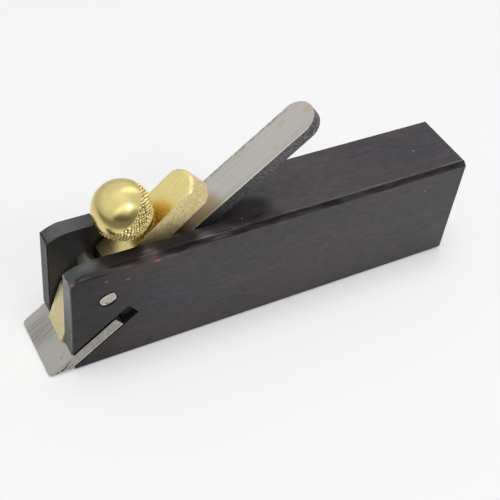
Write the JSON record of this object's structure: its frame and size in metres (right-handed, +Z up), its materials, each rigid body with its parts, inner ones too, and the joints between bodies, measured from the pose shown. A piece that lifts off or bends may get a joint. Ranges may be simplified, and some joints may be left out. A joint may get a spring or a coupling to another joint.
{
  "type": "finger plane",
  "caption": "Small hand plane in ebony with a steel iron bedded on a slope, held by a brass lever cap under a cross pin and tightened with a knurled ball thumbscrew.",
  "frame": {"origin": "centre of the footprint of the whole plane, on the plane of the sole", "axes": "+X towards the heel and -X towards the cutting edge, +Y towards the far cheek of the picture, +Z up from the sole"},
  "size_m": [0.1052, 0.0172, 0.0501],
  "materials": {
    "ebony": "satin",
    "ground_steel": "ground",
    "pin_steel": "satin",
    "cap_brass": "brushed",
    "polished_brass": "polished"
  },
  "bodies": {
    "body": {"body": "ebony", "cross_pin": "pin_steel"},
    "iron": {"iron": "ground_steel"},
    "lever_cap": {"lever_cap": "cap_brass"},
    "stud": {"thumbscrew_stud": "pin_steel"},
    "head": {"thumbscrew_head": "polished_brass"}
  },
  "joints": [
    {"name": "iron_slide", "type": "slide", "parent": "body", "child": "iron", "axis": [0.7826, 0, 0.6225], "range_m": [-0.001, 0.0042]},
    {"name": "cap_rock", "type": "hinge", "parent": "body", "child": "lever_cap", "pos_m": [-0.03912, 0, 0.01921], "axis": [0, 1, 0], "range_deg": [0, 5]},
    {"name": "screw_travel", "type": "slide", "parent": "lever_cap", "child": "stud", "axis": [-0.6807, 0, 0.7325], "range_m": [0, 0.0014]},
    {"name": "screw_turn", "type": "hinge", "parent": "stud", "child": "head", "pos_m": [-0.03265, 0, 0.03501], "axis": [-0.6807, 0, 0.7325], "range_deg": [0, 720]}
  ],
  "couplings": [
    {"joint": "screw_turn", "follows": "screw_travel", "rad_per_m": 8976},
    {"joint": "cap_rock", "follows": "screw_travel", "rad_per_m": 62.3}
  ]
}
